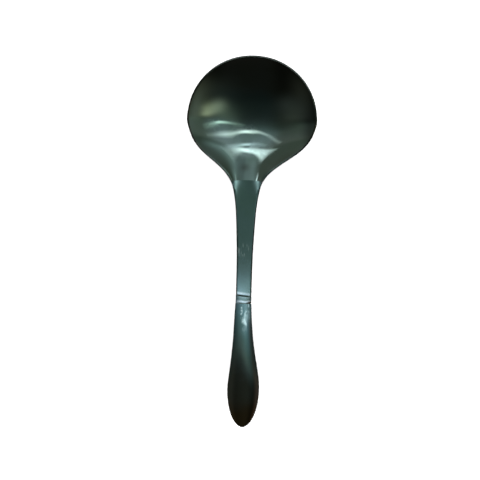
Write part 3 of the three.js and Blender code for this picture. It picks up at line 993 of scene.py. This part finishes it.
# To the left (-1) and right (1): from how many degrees out, to how many, and how far the wall climbs up the
# picture, or what share of the light is left.
WALL_CLIMB = [(-1, 10, 50, 9), (1, 10, 60, -4)]
BOWL_FALL = [(-1, 24, 60, [0.44, 0.4, 0.34]), (-1, 78, 104, 0.35), (1, 48, 92, [0.42, 0.42, 0.34])]
CORNER = ((4, 20), (38, 46), 0.74)  # a dimmer corner far up on the right: across, up, and the share left


def bowl_sky(right, up):
    climb = sum(rise * smoothstep(side * right, start, full) for side, start, full, rise in WALL_CLIMB)
    sky = blend_stops(up - climb, BOWL_STOPS)
    for side, start, full, left in BOWL_FALL:
        sky *= dimmed(smoothstep(side * right, start, full), left)
    sky *= dimmed(smoothstep(right, *CORNER[0]) * smoothstep(up, *CORNER[1]), CORNER[2])
    return sky + patches(right, up, BOWL_PATCHES)


# What the handle mirrors: dark low down the picture, a bright band just under the zenith, and a dim wall.
HANDLE_STOPS = [
    (-110, 0.05, 0.04, 0.025), (-60, 0.06, 0.047, 0.035), (-46, 0.065, 0.055, 0.045),
    (-40, 0.12, 0.125, 0.12), (-34, 0.28, 0.32, 0.3), (-28, 0.31, 0.42, 0.41), (-22, 0.42, 0.62, 0.66),
    (-16, 0.58, 0.82, 0.95),
    (-11, 0.8, 1.05, 1.25), (-8, 1.1, 1.35, 1.6), (-4, 1.1, 1.35, 1.55), (-1, 0.6, 0.76, 0.82),
    (4, 0.39, 0.48, 0.48), (10, 0.28, 0.36, 0.34), (18, 0.22, 0.3, 0.28), (55, 0.2, 0.28, 0.26),
]
HANDLE_PATCHES = [
    ((-52, 50), (19, 17), [1.5, 1.7, 1.8]),
    ((50, 50), (19, 17), [1.7, 1.95, 2.05]),
]
# The share of light left by how far out it is, to the left, and to the right high up and low down.
LEFT_FALL = ([-8, 0, 13, 30, 57, 90], [1, 0.95, 0.8, 0.5, 0.26, 0.2])
RIGHT_FALL = ([12, 30, 57, 90], [1, 0.74, 0.36, 0.25])
RIGHT_FALL_LOW = ([12, 30, 57, 90], [1, 0.46, 0.17, 0.12])
RIGHT_WARMTH = [1, 0.7, 0.6]
LOW_RIGHT = [0.13, 0.075, 0.06]
LOW_LEFT = [0.06, 0.045, 0.035]
BAND_SLANT = 0.25


def handle_sky(right, up):
    sky = blend_stops(up + BAND_SLANT * np.clip(right, -10, 30), HANDLE_STOPS)
    lower = smoothstep(-up, 11, 18)
    right_fall = lerp(np.interp(right, *RIGHT_FALL), np.interp(right, *RIGHT_FALL_LOW), lower)
    sky *= (np.interp(-right, *LEFT_FALL) * right_fall)[:, None]
    sky *= dimmed(lower * smoothstep(right, 24, 50), RIGHT_WARMTH)
    low = smoothstep(-up, 24, 46) * (1 - smoothstep(-up, 90, 120))
    sky += (low * smoothstep(right, 30, 62))[:, None] * LOW_RIGHT
    sky += (low * smoothstep(-right, 16, 50))[:, None] * LOW_LEFT
    return sky + patches(right, up, HANDLE_PATCHES)


dome("bowl_sky", bowl_sky, BOWL_LIT, BOWL_CENTRE)
dome("handle_sky", handle_sky, HANDLE_LIT, HANDLE_CENTRE)

STREAKS = {
    "streak_a": ((0.88, 1.0, 0.84), [
        (10, -9, 2, 0.1), (26, -8.5, 2.5, 0.9), (40, -7, 3, 1.5), (54, -3, 3, 3.2), (64, 3, 3, 2),
        (75, 11, 3, 0.8), (86, 19, 3, 0),
    ]),
    "streak_b": ((1.06, 1.0, 0.96), [
        (-56, 46, 3, 0.4), (-39, 21, 3, 0.9), (-26, 9, 3, 1.2), (-13, 2.5, 3.5, 2.2), (0, 0.8, 3.4, 4.8),
        (13, 0.8, 3.4, 5), (26, 4, 4, 2.6), (38, 9.5, 6, 2.2), (52, 16, 7, 1.9), (66, 24, 6, 0.7),
        (80, 32, 5, 0.2),
    ]),
    "streak_c": ((0.97, 0.99, 1.06), [
        (-38, 38, 3, 0.2), (-26, 29, 3, 0.6), (-13, 23.5, 3, 1.4), (0, 21.3, 3.2, 2.4), (13, 21.8, 3.2, 2.6),
        (26, 26, 4, 1.6), (39, 33.5, 4, 1.3), (54, 46, 4, 0.5), (64, 58, 4, 0.1),
    ]),
    "streak_d": ((1.04, 0.99, 0.99), [
        (-54, 64, 3, 0.9), (-43, 53.5, 3.6, 4), (-31, 43.5, 4.2, 4.2), (-16, 35, 4.2, 4.8),
        (0, 30.8, 4.2, 5.2), (17, 30.6, 3.8, 4.8), (31, 34.5, 3.6, 3.2), (46, 44.5, 3.4, 1.4),
        (60, 58, 3, 0.3),
    ]),
}
for name, (colour, path) in STREAKS.items():
    ribbon(name, path, colour, BOWL_LIT, BOWL_CENTRE)

GLINT_COLOUR = (1.12, 1, 1.1)
GLINTS = {
    "glint_a": [(24, -14.6, 1.3, 0.3), (19, -15.6, 1.4, 3), (12, -17, 1.4, 3.6), (6, -18.4, 1.8, 4.4)],
    "glint_b": [(-8, -20.2, 1.2, 0.4), (2, -19.8, 1.8, 5), (12, -20, 2, 5.2), (20, -20.6, 1.4, 0.6)],
    "glint_c": [(-15, -15.2, 0.8, 0.2), (-9, -14.4, 1.3, 3.4), (-4, -14, 0.9, 0.2)],
    "glint_d": [(31, -13.2, 1.2, 0.3), (35, -14, 1.5, 3.4), (39, -14.8, 1.2, 0.3)],
}
for name, path in GLINTS.items():
    ribbon(name, path, GLINT_COLOUR, GRIP_LIT, HANDLE_CENTRE)

RIM_LIGHT_COLOUR = (0.95, 1, 1.04)
RIM_LIGHT = [
    (-60, -8, 2.5, 0.4), (-25, -8, 2.5, 1.3), (0, -8.5, 2.5, 1.5), (25, -9, 2.5, 1.5), (60, -9, 2.5, 0.6),
]
ribbon("rim_light", RIM_LIGHT, RIM_LIGHT_COLOUR, STEM_LIT, HANDLE_CENTRE)
